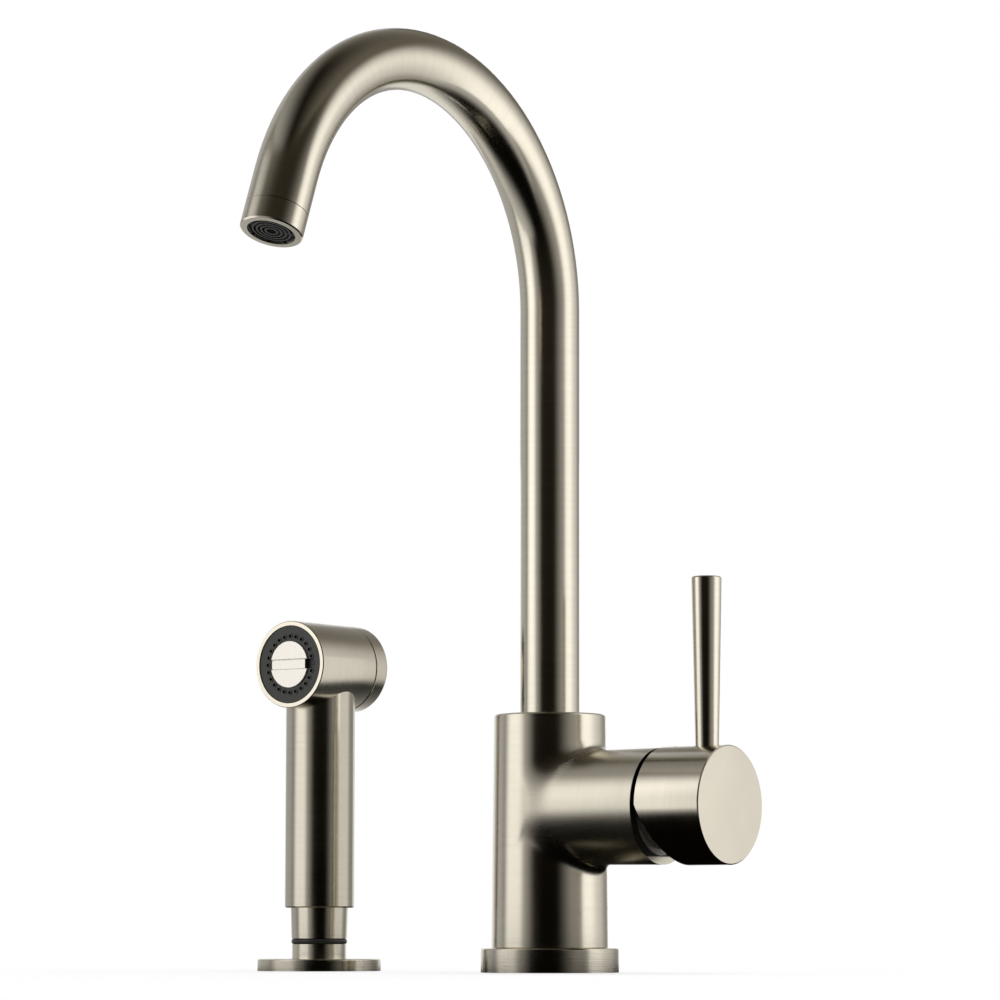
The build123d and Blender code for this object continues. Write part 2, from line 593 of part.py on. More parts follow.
# ---------------------------------------------------------------- spout
def neck(radius):
    """Solid gooseneck of one radius: straight leg, bend and the straight run to the aerator."""
    leg = rod(radius, NIPPLE_TOP_Z, NECK_START_Z)
    centre_line = Axis((0, -NECK_RADIUS, NECK_START_Z), (1, 0, 0))
    bend = revolve(Pos(0, 0, NECK_START_Z) * Circle(radius), centre_line, revolution_arc=NECK_SWEEP)
    tip = AT_OUTLET * rod(radius, -OUTLET_STRAIGHT, -AERATOR_LENGTH)
    return leg + bend + tip


def spout_tube():
    return neck(TUBE_RADIUS) - neck(TUBE_BORE_RADIUS)


def spout_nipple():
    nipple = rod(NIPPLE_RADIUS, NIPPLE_BOTTOM_Z, NIPPLE_TOP_Z)
    nipple += rod(TUBE_BORE_RADIUS, NIPPLE_TOP_Z, NIPPLE_TOP_Z + NIPPLE_SHANK_LENGTH)
    nipple -= rod(NIPPLE_BORE_RADIUS, NIPPLE_BOTTOM_Z, NIPPLE_TOP_Z + NIPPLE_SHANK_LENGTH)
    for height in SEAL_ZS:
        start, end = height - SEAL_GROOVE_WIDTH / 2, height + SEAL_GROOVE_WIDTH / 2
        nipple -= ring(NIPPLE_RADIUS, SEAL_GROOVE_RADIUS, start, end)
    nipple -= ring(NIPPLE_RADIUS, SEAL_GROOVE_RADIUS, SLIDE_RING_Z, SLIDE_RING_Z + SLIDE_RING_HEIGHT)
    return nipple - stop_groove()


def stop_groove():
    """Groove at the back of the nipple in which the stop screw's dog limits the swivel."""
    half_height = STOP_DOG_RADIUS + LOOSE
    low, high = STOP_SCREW_Z - half_height, STOP_SCREW_Z + half_height
    half_angle = SWIVEL_STOP + degrees(asin(half_height / STOP_GROOVE_RADIUS))
    outline = (
        (STOP_GROOVE_RADIUS, low),
        (NIPPLE_RADIUS + LOOSE, low),
        (NIPPLE_RADIUS + LOOSE, high),
        (STOP_GROOVE_RADIUS, high),
    )
    return Rot(0, 0, 90 - half_angle) * lathe(*outline, turn=2 * half_angle)


def spout_seals():
    outer = SOCKET_RADIUS - RUNNING
    section = (outer - SEAL_GROOVE_RADIUS) / 2
    return [o_ring(SEAL_GROOVE_RADIUS + section, section, height) for height in SEAL_ZS]


def spout_slide_ring():
    top = SLIDE_RING_Z + SLIDE_RING_HEIGHT
    outer = SOCKET_RADIUS - RUNNING
    split = block(2 * (outer - SEAL_GROOVE_RADIUS), SLIDE_RING_SPLIT, SLIDE_RING_Z, top)
    return ring(outer, SEAL_GROOVE_RADIUS, SLIDE_RING_Z, top) - Pos(SEAL_GROOVE_RADIUS, 0) * split


# ---------------------------------------------------------------- aerator
def aerator_housing():
    shell = rod(TUBE_RADIUS, -AERATOR_LENGTH, 0)
    shell = chamfer(rims(shell, TUBE_RADIUS, 0), HUB_EDGE)
    shell = chamfer(rims(shell, TUBE_RADIUS, -AERATOR_LENGTH), AERATOR_JOINT_LINE)
    shell += rod(TUBE_BORE_RADIUS - THREAD, -AERATOR_LENGTH - AERATOR_THREAD_LENGTH, -AERATOR_LENGTH)
    return AT_OUTLET * (shell - rod(AERATOR_BORE_RADIUS, -AERATOR_LENGTH - AERATOR_THREAD_LENGTH, 0))


def aerator_insert():
    front = -AERATOR_RECESS
    back = -AERATOR_LENGTH - AERATOR_THREAD_LENGTH
    floor = front - AERATOR_RING_HEIGHT
    radius = AERATOR_BORE_RADIUS
    insert = rod(radius, back, floor)
    for index in range(AERATOR_RING_COUNT):
        outer = radius - index * AERATOR_RING_PITCH
        insert += ring(outer, outer - AERATOR_RING_WIDTH, floor, front)
    for index in range(AERATOR_KEY_COUNT):
        notch = block(2 * AERATOR_KEY_DEPTH, AERATOR_KEY_WIDTH, floor, front)
        insert -= Rot(0, 0, index * 360 / AERATOR_KEY_COUNT) * Pos(radius, 0) * notch
    return AT_OUTLET * insert


def aerator_washer():
    top = -AERATOR_LENGTH - AERATOR_THREAD_LENGTH
    outer = TUBE_BORE_RADIUS - THREAD
    return AT_OUTLET * ring(outer, outer - AERATOR_WASHER_WIDTH, top - AERATOR_WASHER_HEIGHT, top)


# ---------------------------------------------------------------- side spray: holder
def spray_holder():
    flange = rod(FLANGE_RADIUS, 0, FLANGE_HEIGHT)
    flange = fillet(rims(flange, FLANGE_RADIUS, FLANGE_HEIGHT), FLANGE_ROUNDING)
    relief_bottom = FLANGE_HEIGHT - COLLAR_RELIEF_DEPTH
    flange -= ring(COLLAR_RADIUS + COLLAR_RELIEF_WIDTH, COLLAR_RADIUS, relief_bottom, FLANGE_HEIGHT)
    flange += rod(COLLAR_RADIUS, 0, COLLAR_TOP_Z)
    flange -= rod(LINER_RADIUS, 0, COLLAR_TOP_Z)
    outer = FLANGE_RADIUS - GASKET_MARGIN
    return AT_SPRAY * (flange - ring(outer, outer - GASKET_WIDTH, 0, GASKET_DEPTH))


def holder_gasket():
    outer = FLANGE_RADIUS - GASKET_MARGIN
    return AT_SPRAY * ring(outer, outer - GASKET_WIDTH, 0, GASKET_DEPTH)


def holder_liner():
    liner = rod(LINER_RADIUS, 0, COLLAR_TOP_Z)
    rim = rod(LINER_RIM_RADIUS, COLLAR_TOP_Z, LINER_TOP_Z)
    edges = rims(rim, LINER_RIM_RADIUS, COLLAR_TOP_Z) + rims(rim, LINER_RIM_RADIUS, LINER_TOP_Z)
    liner += fillet(edges, LINER_RIM_ROUNDING)
    return AT_SPRAY * (liner - rod(LINER_BORE_RADIUS, 0, LINER_TOP_Z))


# ---------------------------------------------------------------- side spray: hose nut and handle
def hose_nut():
    nut = taper(NUT_FOOT_RADIUS, NUT_SHOULDER_RADIUS, LINER_TOP_Z, HANDLE_BOTTOM_Z)
    nut += taper(PLUG_TIP_RADIUS, PLUG_ROOT_RADIUS, PLUG_BOTTOM_Z, LINER_TOP_Z)
    nut -= rod(HOSE_BORE_RADIUS, PLUG_BOTTOM_Z, HANDLE_BOTTOM_Z)
    washer_bottom = HANDLE_BOTTOM_Z - HANDLE_THREAD_LENGTH - HOSE_WASHER_THICKNESS
    nut -= rod(HANDLE_THREAD_RADIUS + THREAD, washer_bottom, HANDLE_BOTTOM_Z)
    return AT_SPRAY * nut


def hose_washer():
    top = HANDLE_BOTTOM_Z - HANDLE_THREAD_LENGTH
    outer = HANDLE_THREAD_RADIUS - THREAD
    return AT_SPRAY * ring(outer, HANDLE_WATERWAY_RADIUS, top - HOSE_WASHER_THICKNESS, top)


def spray_handle():
    handle = rod(HANDLE_RADIUS, HANDLE_BOTTOM_Z, HEAD_Z)
    handle = chamfer(rims(handle, HANDLE_RADIUS, HANDLE_BOTTOM_Z), HANDLE_EDGE)
    handle += rod(HANDLE_THREAD_RADIUS, HANDLE_BOTTOM_Z - HANDLE_THREAD_LENGTH, HANDLE_BOTTOM_Z)
    handle -= rod(HANDLE_WATERWAY_RADIUS, HANDLE_BOTTOM_Z - HANDLE_THREAD_LENGTH, HEAD_Z)
    handle -= rod(HANDLE_BORE_RADIUS, HANDLE_BOTTOM_Z + HANDLE_FLOOR, HEAD_Z)
    return AT_SPRAY * handle - IN_HEAD * rod(HEAD_RADIUS, -HEAD_REAR, HEAD_FRONT)


# ---------------------------------------------------------------- side spray: head
def head_shell():
    shell = rod(HEAD_RADIUS, -HEAD_SEAM, HEAD_FRONT)
    shell = chamfer(rims(shell, HEAD_RADIUS, HEAD_FRONT), HEAD_EDGE)
    shell = fillet(rims(shell, HEAD_RADIUS, -HEAD_SEAM), SEAM_ROUNDING)
    shell = IN_HEAD * (shell - rod(HEAD_BORE_RADIUS, -HEAD_SEAM, HEAD_FRONT))
    return shell - AT_SPRAY * rod(HANDLE_WATERWAY_RADIUS, HANDLE_BOTTOM_Z, HEAD_Z)


def rear_cap():
    spigot_end = REAR_CAP_SPIGOT - HEAD_SEAM
    shoulder = -HEAD_SEAM - SEAM_GAP
    cap = rod(HEAD_RADIUS, -HEAD_REAR, shoulder)
    cap = fillet(rims(cap, HEAD_RADIUS, -HEAD_REAR), REAR_CAP_ROUNDING)
    cap = fillet(rims(cap, HEAD_RADIUS, shoulder), SEAM_ROUNDING)
    cap += rod(HEAD_RADIUS - SEAM_DEPTH, shoulder, -HEAD_SEAM)
    cap += rod(HEAD_BORE_RADIUS - THREAD, -HEAD_SEAM, spigot_end)
    cap -= rod(BUTTON_RADIUS + LOOSE, -HEAD_REAR, spigot_end)
    lip = BUTTON_DEPTH - BUTTON_FLANGE
    return IN_HEAD * (cap - rod(BUTTON_RADIUS + BUTTON_FLANGE + LOOSE, lip - HEAD_REAR, spigot_end))


def valve_core():
    rear = REAR_CAP_SPIGOT - HEAD_SEAM
    seat_rear = CORE_SEAT_FRONT - CORE_SEAT_THICKNESS
    chamber_rear = seat_rear - CORE_CHAMBER_LENGTH
    core = rod(HEAD_BORE_RADIUS - THREAD, rear, FACE_PLATE_BACK)
    core -= rod(HEAD_BORE_RADIUS - CORE_SKIRT_WALL, CORE_FRONT, FACE_PLATE_BACK)
    core -= rod(VALVE_STEM_RADIUS + RUNNING, rear, chamber_rear)
    core -= rod(CORE_CHAMBER_RADIUS, chamber_rear, seat_rear)
    core -= rod(CORE_SEAT_RADIUS, seat_rear, CORE_SEAT_FRONT)
    core -= rod(CORE_CHAMBER_RADIUS, CORE_SEAT_FRONT, CORE_FRONT - CORE_WEB)
    core -= rod(SCREW_SHANK_RADIUS + THREAD, CORE_FRONT - CORE_WEB, CORE_FRONT)
    hole_circle = (SCREW_SHANK_RADIUS + CORE_CHAMBER_RADIUS) / 2
    for place in PolarLocations(hole_circle, CORE_WATER_HOLES):
        core -= place * rod(CORE_WATER_HOLE_RADIUS, CORE_FRONT - CORE_WEB, CORE_FRONT)
    inlet_at = (chamber_rear + seat_rear) / 2
    return IN_HEAD * (core - Pos(0, 0, inlet_at) * Rot(90, 0, 0) * rod(CORE_INLET_RADIUS, 0, HEAD_RADIUS))


def face_plate():
    plate = rod(HEAD_BORE_RADIUS - THREAD, FACE_PLATE_BACK, FACE_PLATE_FRONT)
    for place in PolarLocations(NOZZLE_CIRCLE_RADIUS, NOZZLE_COUNT):
        collar_top = FACE_PLATE_FRONT + NOZZLE_COLLAR_HEIGHT
        plate += place * rod(NOZZLE_COLLAR_RADIUS, FACE_PLATE_FRONT, collar_top)
        plate -= place * rod(NOZZLE_RADIUS, FACE_PLATE_BACK, collar_top)
    plate -= rod(SCREW_SHANK_RADIUS + THREAD, FACE_PLATE_BACK, FACE_PLATE_FRONT)
    return IN_HEAD * (plate - key_notch())


def key_notch():
    """Square notch across the face screw's rim at one end of its slot, for a key."""
    centre = (KEY_NOTCH_START + KEY_NOTCH_END) / 2
    length = KEY_NOTCH_END - KEY_NOTCH_START
    top = FACE_PLATE_FRONT + FACE_SCREW_PROUD
    return Pos(centre, 0) * block(length, FACE_SLOT_WIDTH, FACE_PLATE_FRONT - KEY_NOTCH_DEPTH, top)


def face_screw():
    top = FACE_PLATE_FRONT + FACE_SCREW_PROUD
    screw = rod(FACE_SCREW_RADIUS, FACE_PLATE_FRONT, top)
    screw += rod(SCREW_SHANK_RADIUS, CORE_FRONT - CORE_WEB, FACE_PLATE_FRONT)
    screw -= block(3 * FACE_SCREW_RADIUS, FACE_SLOT_WIDTH, top - FACE_SLOT_DEPTH, top)
    lips = screw.edges().filter_by(GeomType.LINE).group_by(Axis.Z)[-1]
    return IN_HEAD * (chamfer(lips, FACE_SLOT_EDGE) - key_notch())


# ---------------------------------------------------------------- side spray: push button and valve
def push_button():
    rear = -HEAD_REAR - BUTTON_PROUD
    front = BUTTON_DEPTH - HEAD_REAR
    button = rod(BUTTON_RADIUS, rear, front)
    button = fillet(rims(button, BUTTON_RADIUS, rear), BUTTON_ROUNDING)
    button += rod(BUTTON_RADIUS + BUTTON_FLANGE, front - BUTTON_FLANGE, front)
    return IN_HEAD * (button - ring(SPRING_POCKET_RADIUS, BUTTON_HUB_RADIUS, -HEAD_REAR, front))


def valve_stem():
    front = CORE_SEAT_FRONT + VALVE_SEAL_THICKNESS
    return IN_HEAD * rod(VALVE_STEM_RADIUS, BUTTON_DEPTH - HEAD_REAR, front)


def valve_seal():
    front = CORE_SEAT_FRONT + VALVE_SEAL_THICKNESS
    return IN_HEAD * ring(VALVE_SEAL_RADIUS, VALVE_STEM_RADIUS, CORE_SEAT_FRONT, front)


def valve_spring():
    mean_radius = (BUTTON_HUB_RADIUS + SPRING_POCKET_RADIUS) / 2
    return IN_HEAD * coil(mean_radius, -HEAD_REAR, REAR_CAP_SPIGOT - HEAD_SEAM, VALVE_SPRING_TURNS)


PIECES = {
    "tap_body": tap_body,
    "base_ring": base_ring,
    "base_gasket": base_gasket,
    "spout_bush": spout_bush,
    "spout_stop_screw": spout_stop_screw,
    "diverter_sleeve": diverter_sleeve,
    "diverter_seal": diverter_seal,
    "diverter_piston": diverter_piston,
    "diverter_spring": diverter_spring,
    "cartridge_base": cartridge_base,
    "cartridge_seals": cartridge_seals,
    "fixed_disc": fixed_disc,
    "cartridge_housing": cartridge_housing,
    "cartridge_nut": cartridge_nut,
    "ball_cap": ball_cap,
    "cartridge_rotor": cartridge_rotor,
    "pivot_pin": pivot_pin,
    "disc_carrier": disc_carrier,
    "moving_disc": moving_disc,
    "lever_stem": lever_stem,
    "lever_hub": lever_hub,
    "lever_rod": lever_rod,
    "lever_grub_screw": lever_grub_screw,
    "spout_tube": spout_tube,
    "spout_nipple": spout_nipple,
    "spout_seals": spout_seals,
    "spout_slide_ring": spout_slide_ring,
    "aerator_housing": aerator_housing,
    "aerator_insert": aerator_insert,
    "aerator_washer": aerator_washer,
    "spray_holder": spray_holder,
    "holder_gasket": holder_gasket,
    "holder_liner": holder_liner,
    "hose_nut": hose_nut,
    "hose_washer": hose_washer,
    "spray_handle": spray_handle,
    "head_shell": head_shell,
    "rear_cap": rear_cap,
    "valve_core": valve_core,
    "face_plate": face_plate,
    "face_screw": face_screw,
    "push_button": push_button,
    "valve_stem": valve_stem,
    "valve_seal": valve_seal,
    "valve_spring": valve_spring,
}

os.makedirs("parts", exist_ok=True)
for name, make in PIECES.items():
    shape = make()
    if isinstance(shape, list):
        shape = Compound(children=shape)
    export_step(shape, f"parts/{name}.step")
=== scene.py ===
"""Looks of the single-lever kitchen mixer tap and its side spray, laid out as a Blender add-on.

Metres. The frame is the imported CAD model: the origin is the centre of the tap's foot, +Z is up, the
spout points along -Y, the lever barrel along +X, and the side spray stands on the -X side.
"""
import math

import bpy
from bpy.props import FloatProperty, FloatVectorProperty, PointerProperty
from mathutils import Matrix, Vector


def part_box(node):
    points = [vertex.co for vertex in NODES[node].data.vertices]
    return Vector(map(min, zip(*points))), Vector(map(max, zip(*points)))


bl_info = {
    "name": "Side spray kitchen tap",
    "version": (1, 0, 0),
    "blender": (4, 5, 0),
    "location": "View3D > Sidebar > Kitchen Tap",
    "description": "Finishes and studio for the kitchen mixer tap and its side spray",
    "category": "Object",
}

MM = 0.001

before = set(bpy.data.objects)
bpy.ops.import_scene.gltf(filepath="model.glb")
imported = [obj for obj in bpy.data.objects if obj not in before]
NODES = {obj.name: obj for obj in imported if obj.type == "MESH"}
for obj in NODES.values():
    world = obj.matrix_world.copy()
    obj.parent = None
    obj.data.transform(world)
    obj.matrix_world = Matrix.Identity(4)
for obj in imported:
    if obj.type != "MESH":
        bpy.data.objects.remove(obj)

# ---------------------------------------------------------------- places and sizes of round pieces
TUBE_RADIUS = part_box("spout_tube")[1].x
NECK_RADIUS = 93.9 * MM                    # centre line of the gooseneck's bend
NECK_SWEEP = math.radians(159.8)           # how far the bend turns
BEND_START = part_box("spout_tube")[1].z - TUBE_RADIUS - NECK_RADIUS
BODY_RADIUS = -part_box("tap_body")[0].x     # of the column at its foot
BODY_TAPER = 0.01                          # how much it shrinks for each unit of height
BARREL_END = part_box("tap_body")[1].x
BARREL_HEIGHT = 70 * MM                    # of the barrel's axis
BARREL_RADIUS = 24.35 * MM                 # halfway along the barrel
SPRAY_X = (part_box("spray_holder")[0].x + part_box("spray_holder")[1].x) / 2
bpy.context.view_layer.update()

# The joint of column and barrel: how far the two are rounded into each other, and how far right the
# barrel's share begins.
JOINT_REACH = 6.5 * MM
JOINT_ROOT = 5 * MM
# Where the rounding fades at its left and its right, and above and below the barrel's axis, and
# where the column's lines turn into the barrel's. Each pair is where the change starts and ends.
JOINT_LEFT = (-9 * MM, -3 * MM)
JOINT_RIGHT = (BARREL_END - 8 * MM, BARREL_END - 3 * MM)
JOINT_HEIGHT = (33 * MM, 38 * MM)
GRAIN_TURN = (BODY_RADIUS - 1 * MM, BODY_RADIUS + 5 * MM)

# Painted shade: the barrel's end face, which the hub shades, is painted near black, and left bare
# nickel at its lowest point, where light reaches it.
PAINTED_SHADE_BLACK = (0.02, 0.018, 0.014, 1.0)
PAINTED_SHADE_START = (BARREL_END - 0.3 * MM, BARREL_END - 0.2 * MM)
PAINTED_SHADE_LOWEST = (BARREL_HEIGHT - 21.5 * MM, BARREL_HEIGHT - 21 * MM)

STREAK_SPACING = 5                         # of the wide streaks, in grain spacings
STREAK_LENGTH = 3                          # of the wide streaks, in grain lengths
CLOUD_SIZE = 30 * MM                       # of the patches that handling leaves on nickel


# ---------------------------------------------------------------- settings a user would change
class NickelSettings(bpy.types.PropertyGroup):
    colour: FloatVectorProperty(
        name="Colour",
        description="Colour of the brushed nickel",
        subtype="COLOR",
        size=3,
        min=0,
        max=1,
        default=(0.63, 0.585, 0.475),
    )
    roughness: FloatProperty(
        name="Roughness",
        description="Blur of reflections in the brushed surface",
        subtype="FACTOR",
        min=0,
        max=1,
        default=0.18,
    )
    grain_spacing: FloatProperty(
        name="Grain spacing",
        description="Distance from one brushed line to the next",
        subtype="DISTANCE",
        unit="LENGTH",
        min=0.05 * MM,
        default=0.35 * MM,
    )
    grain_length: FloatProperty(
        name="Grain length",
        description="Length of one brushed line",
        subtype="DISTANCE",
        unit="LENGTH",
        min=1 * MM,
        default=16 * MM,
    )
    grain_depth: FloatProperty(
        name="Grain depth",
        description="Depth of the brushed lines",
        subtype="DISTANCE",
        unit="LENGTH",
        min=0,
        default=0.012 * MM,
    )
    wear_radius: FloatProperty(
        name="Edge wear",
        description="Width of the rubbed, brighter band along edges",
        subtype="DISTANCE",
        unit="LENGTH",
        min=0.01 * MM,
        default=0.5 * MM,
    )


class StudioSettings(bpy.types.PropertyGroup):
    camera_place: FloatVectorProperty(
        name="Camera place",
        description="Where the camera stands",
        subtype="TRANSLATION",
        unit="LENGTH",
        size=3,
        default=(0.9883, -1.3926, 0.0173),
    )
    camera_turn: FloatProperty(
        name="Camera turn",
        description="Turn of the camera about the vertical",
        subtype="ANGLE",
        unit="ROTATION",
        default=math.radians(35.36),
    )
    camera_pitch: FloatProperty(
        name="Camera pitch",
        description="How far the camera looks up",
        subtype="ANGLE",
        unit="ROTATION",
        default=math.radians(5.94),
    )
    lens: FloatProperty(
        name="Lens",
        description="Focal length on a 36 mm sensor",
        subtype="DISTANCE_CAMERA",
        unit="CAMERA",
        default=142.6,
    )
    shift_x: FloatProperty(
        name="Shift X",
        description="Sideways shift of the picture",
        default=-0.0500,
    )
    shift_y: FloatProperty(
        name="Shift Y",
        description="Upward shift of the picture",
        default=0.0197,
    )
    floor_colour: FloatVectorProperty(
        name="Floor colour",
        description="Colour of the plain floor",
        subtype="COLOR",
        size=3,
        min=0,
        max=1,
        default=(0.92, 0.92, 0.92),
    )
    shadow_share: FloatProperty(
        name="Shadow share",
        description="How much of the floor's brightness comes from the lamps, and so shows shadows",
        subtype="FACTOR",
        min=0,
        max=1,
        default=0.3,
    )
    room_level: FloatProperty(
        name="Room level",
        description="Brightness of the plain room light",
        min=0,
        default=0.6,
    )
    lamp_level: FloatProperty(
        name="Lamp level",
        description="Strength of the broad soft lamp",
        min=0,
        default=1.7,
    )
    tent_middle: FloatVectorProperty(
        name="Tent middle",
        description="Middle of the light tent on the floor",
        subtype="TRANSLATION",
        unit="LENGTH",
        size=2,
        default=(-0.02, -0.08),
    )
    tent_radius: FloatProperty(
        name="Tent radius",
        description="Radius of the light tent's wall",
        subtype="DISTANCE",
        unit="LENGTH",
        min=0.3,
        default=0.5,
    )
    tent_height: FloatProperty(
        name="Tent height",
        description="Height of the light tent's wall",
        subtype="DISTANCE",
        unit="LENGTH",
        min=0.4,
        default=0.8,
    )
    opening_height: FloatProperty(
        name="Opening height",
        description="Height of the tent's opening behind the object",
        subtype="DISTANCE",
        unit="LENGTH",
        min=0.05,
        default=0.27,
    )
    cloth_level: FloatProperty(
        name="Cloth level",
        description="Brightness of the tent's dark cloth at its top",
        min=0,
        default=0.045,
    )


# ---------------------------------------------------------------- writing shaders
class Field:
    """A shader socket that stands for a number, so that shader maths reads as Python."""

    def __init__(self, finish, socket):
        self.finish = finish
        self.socket = socket

    def maths(self, operation, *terms):
        return self.finish.node("Math", {"operation": operation}, dict(enumerate(terms)))

    def __add__(self, other):
        return self.maths("ADD", self, other)

    def __sub__(self, other):
        return self.maths("SUBTRACT", self, other)

    def __rsub__(self, other):
        return self.maths("SUBTRACT", other, self)

    def __mul__(self, other):
        return self.maths("MULTIPLY", self, other)

    def __truediv__(self, other):
        return self.maths("DIVIDE", self, other)

    __radd__ = __add__
    __rmul__ = __mul__

    def least(self, other):
        return self.maths("MINIMUM", self, other)

    def most(self, other):
        return self.maths("MAXIMUM", self, other)

    def size(self):
        return self.maths("ABSOLUTE", self)

    def root(self):
        return self.maths("SQRT", self)

    def sine(self):
        return self.maths("SINE", self)

    def cosine(self):
        return self.maths("COSINE", self)

    def bearing(self, other):
        """Angle whose sine side is this field and whose cosine side is the other."""
        return self.maths("ARCTAN2", self, other)

    def rise(self, start, end):
        """0 at start, 1 at end, smooth between."""
        sockets = {"Value": self, "From Min": start, "From Max": end}
        return self.finish.node("MapRange", {"interpolation_type": "SMOOTHSTEP"}, sockets)


class Finish:
    """One procedural material or world, written with fields."""

    def __init__(self, owner):
        self.owner = owner
        owner.use_nodes = True
        self.tree = owner.node_tree
        self.tree.nodes.clear()

    def node(self, kind, settings=None, sockets=None, output=0):
        """Adds a node and gives back one of its outputs."""
        made = self.tree.nodes.new("ShaderNode" + kind)
        for name, value in (settings or {}).items():
            setattr(made, name, value)
        for name, value in (sockets or {}).items():
            if isinstance(value, Field):
                self.tree.links.new(value.socket, made.inputs[name])
            else:
                made.inputs[name].default_value = value
        return Field(self, made.outputs[output]) if made.outputs else None

    def axes(self, source):
        """Three numbers of a place or a direction: Object is the row frame's metres at rest."""
        vector = self.node("TexCoord", output=source)
        return [self.node("SeparateXYZ", sockets={0: vector}, output=axis) for axis in "XYZ"]

    def vector(self, x, y, z):
        """One vector from three numbers."""
        return self.node("CombineXYZ", sockets={0: x, 1: y, 2: z})

    def noise(self, place, detail=2.0):
        """Noise about 0.5 with features one unit of the place long."""
        sockets = {"Vector": self.vector(*place), "Scale": 1.0, "Detail": detail}
        return self.node("TexNoise", sockets=sockets)

    def patches(self, place, size, detail=3.0):
        """Noise about 0.5 with features of that size."""
        return self.noise([axis / size for axis in place], detail)

    def blend(self, share, first, second):
        """Colour between two colours."""
        sockets = {0: share, 6: first, 7: second}
        return self.node("Mix", {"data_type": "RGBA"}, sockets, output=2)

    def between_shaders(self, share, first, second):
        """Shader between two shaders."""
        return self.node("MixShader", sockets={0: share, 1: first, 2: second})

    def alike(self, normal):
        """1 where a normal is the surface's own, 0 where it lies square to it."""
        pair = {0: normal, 1: self.node("NewGeometry", output="Normal")}
        return self.node("VectorMath", {"operation": "DOT_PRODUCT"}, pair, output="Value")

    def wear(self, radius):
        """1 on rubbed edges and 0 on open surfaces."""
        rounded = self.node("Bevel", {"samples": 6}, {"Radius": radius})
        return (1.0 - self.alike(rounded)).rise(0.01, 0.12)

    def unit(self, vector):
        """The vector with a length of 1."""
        return self.node("VectorMath", {"operation": "NORMALIZE"}, {0: vector})

    def turned_normal(self, direction, joint=None):
        """Surface normal, turned to a direction in the object's own axes where the two are alike.

        Where the joint is 1, less alike ones are turned too.
        """
        ways = {"vector_type": "NORMAL", "convert_from": "OBJECT", "convert_to": "WORLD"}
        turned = self.node("VectorTransform", ways, {0: self.unit(direction)})
        alike = self.alike(turned)
        share = alike.rise(0.93, 0.97)
        if joint:
            share = share.most(joint * alike.rise(0.3, 0.6))
        sockets = {0: share, 4: self.node("NewGeometry", output="Normal"), 5: turned}
        return self.unit(self.node("Mix", {"data_type": "VECTOR"}, sockets, output=1))

    def bump(self, height, depth, normal=None):
        """Normal of a surface that rises by the depth where the height is 1."""
        sockets = {"Height": height, "Distance": depth, "Strength": 1.0}
        if normal:
            sockets["Normal"] = normal
        return self.node("Bump", sockets=sockets)

    def close(self, shader):
        """Sends the shader to the output."""
        kind = "OutputWorld" if isinstance(self.owner, bpy.types.World) else "OutputMaterial"
        self.node(kind, sockets={"Surface": shader})


def finish_once(name, write, *terms, **looks):
    """The material of that name, written the first time that a piece asks for it."""
    if name not in bpy.data.materials:
        write(Finish(bpy.data.materials.new(name)), *terms, **looks)
    return bpy.data.materials[name]


def tinted(colour, factor, lift=0.0):
    """A colour made darker or paler."""
    return [min(1.0, factor * channel + lift) for channel in colour] + [1.0]


# ---------------------------------------------------------------- lay of the brushed lines
def upright_lay(x, y, z):
    """Lines round a vertical axis: the first number runs across the lines, the others along."""
    return z, x, y


def barrel_lay(x, y, z):
    """Lines round an axis from left to right."""
    return x, y, z


def head_lay(x, y, z):
    """Lines round an axis from front to back."""
    return y, x, z


def neck_lay(x, y, z):
    """Lines round the gooseneck, whose length is measured up the leg and round the bend."""
    above = z - BEND_START
    angle = above.most(0.0).bearing(y + NECK_RADIUS)
    return above.least(0.0) + NECK_RADIUS * angle, x, y + z


# ---------------------------------------------------------------- outward from the round pieces
def from_neck(finish, x, y, z):
    """Away from the gooseneck's centre line: the leg, the bend and the straight outlet."""
    above, ahead = z - BEND_START, y + NECK_RADIUS
    turn = above.most(0.0).bearing(ahead).least(NECK_SWEEP)
    level, upward = turn.cosine(), turn.sine()
    outward = ahead * level + above * upward - NECK_RADIUS
    return finish.vector(x, outward * level, outward * upward)


def from_column(finish, x, y, z):
    """Away from the tap's upright axis."""
    return finish.vector(x, y, 0.0)


def from_spray(finish, x, y, z):
    """Away from the side spray's upright axis."""
    return finish.vector(x - SPRAY_X, y, 0.0)


def from_barrel(finish, x, y, z):
    """Away from the lever barrel's axis."""
    return finish.vector(0.0, y, z - BARREL_HEIGHT)


# ---------------------------------------------------------------- how the finishes are written
def brushed_lines(finish, place, lay, spacing, length):
    """Height of fine lines, between 0 and 1."""
    across, along, aside = lay(*place)
    return finish.noise((across / spacing, along / length, aside / length))


def write_metal(finish, place, heights, smooth, tint=1.0, extra_roughness=0.0, painted_shade=None):
    """Nickel with its fine lines and wide streaks, marked by handling and rubbed at its edges, with
    painted shade where a mask for it is given.
    """
    fine, streaks = heights
    nickel = bpy.context.scene.tap_nickel
    cloud = finish.patches(place, CLOUD_SIZE)
    worn = finish.wear(nickel.wear_radius)
    plain = [tint * channel for channel in nickel.colour]
    dark, light, rubbed = (tinted(plain, factor) for factor in (0.86, 1.12, 1.25))
    colour = finish.blend(0.4 * fine + 0.35 * streaks + 0.25 * cloud, dark, light)
    colour = finish.blend(0.5 * worn, colour, rubbed)
    # painted shade: near black where this mask is 1
    if painted_shade:
        colour = finish.blend(painted_shade, colour, PAINTED_SHADE_BLACK)
    rough = nickel.roughness + extra_roughness
    sockets = {
        "Base Color": colour,
        "Metallic": 1.0,
        "Roughness": rough + 0.10 * (fine - 0.5) + 0.08 * (cloud - 0.5) - 0.05 * worn,
        "Normal": finish.bump(0.7 * fine + 0.3 * streaks, nickel.grain_depth, smooth),
    }
    finish.close(finish.node("BsdfPrincipled", sockets=sockets))


